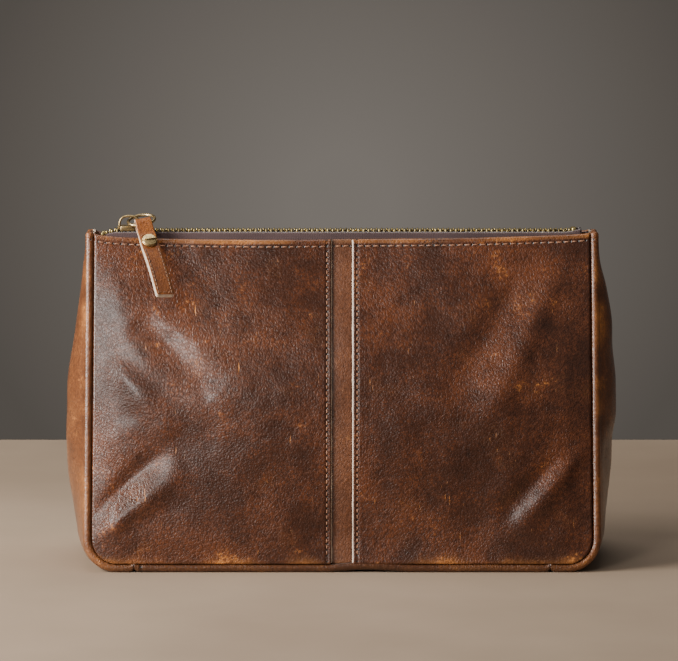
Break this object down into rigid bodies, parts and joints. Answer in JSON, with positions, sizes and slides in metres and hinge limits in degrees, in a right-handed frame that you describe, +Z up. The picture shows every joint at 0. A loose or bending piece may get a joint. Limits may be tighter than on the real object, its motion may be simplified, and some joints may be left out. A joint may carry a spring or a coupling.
{
  "type": "leather shaving kit bag",
  "caption": "Wedge-shaped leather kit bag with a wide flat base, soft gussets, a recessed centre strip and a metal zip with a leather pull tab along its narrow top.",
  "frame": {"origin": "middle of the bag's length and depth, on the face it rests on", "axes": "+X to the right along the zip as seen from the front, -Y out of the front, +Z up"},
  "size_m": [0.2668, 0.0998, 0.1693],
  "materials": {
    "panel_leather": "glazed pull-up red-brown leather, fine pebbled grain, scuffed edges",
    "gusset_leather": "the same leather, smoother and a little lighter, burnished along the rolled seams",
    "strip_leather": "duller olive-brown leather",
    "tab_leather": "tan-brown leather with pale raw edges",
    "lining_cloth": "plain woven cotton twill",
    "zip_tape": "dark aubergine-brown woven tape",
    "antique_brass": "antique brass, darkened in the recesses and bright on the edges"
  },
  "bodies": {
    "bag": {"front_left_panel": "panel_leather", "front_right_panel": "panel_leather", "front_centre_strip": "strip_leather", "lining_front": "lining_cloth", "left_gusset": "gusset_leather", "right_gusset": "gusset_leather", "base_panel": "gusset_leather", "lining_left_gusset": "lining_cloth", "lining_right_gusset": "lining_cloth", "lining_base": "lining_cloth", "front_zip_tape": "zip_tape", "front_tooth_row": "antique_brass", "front_top_stop": "antique_brass", "bottom_stop": "antique_brass"},
    "back_wall": {"back_panel": "panel_leather", "lining_back": "lining_cloth", "back_zip_tape": "zip_tape", "back_tooth_row": "antique_brass", "back_top_stop": "antique_brass"},
    "slider": {"slider_body": "antique_brass", "slider_bail": "antique_brass"},
    "ring": {"pull_ring": "antique_brass"},
    "tab": {"pull_tab": "tab_leather", "screw_head": "antique_brass", "screw_post": "antique_brass"}
  },
  "joints": [
    {"name": "back_wall_tilt", "type": "hinge", "parent": "bag", "child": "back_wall", "pos_m": [0, 0.05, 0.004], "axis": [-1, 0, 0], "range_deg": [0, 18]},
    {"name": "slider_travel", "type": "slide", "parent": "bag", "child": "slider", "axis": [1, 0, 0], "range_m": [0, 0.206]},
    {"name": "ring_swing", "type": "hinge", "parent": "slider", "child": "ring", "pos_m": [-0.1039, -0.00505, 0.16436], "axis": [0.2238, -0.9398, -0.2583], "range_deg": [0, 75]},
    {"name": "tab_swing", "type": "hinge", "parent": "ring", "child": "tab", "pos_m": [-0.09634, -0.00922, 0.16407], "axis": [-0.9668, -0.1806, -0.1806], "range_deg": [0, 120]}
  ],
  "couplings": [
    {"joint": "slider_travel", "follows": "back_wall_tilt", "m_per_rad": 0.655}
  ]
}
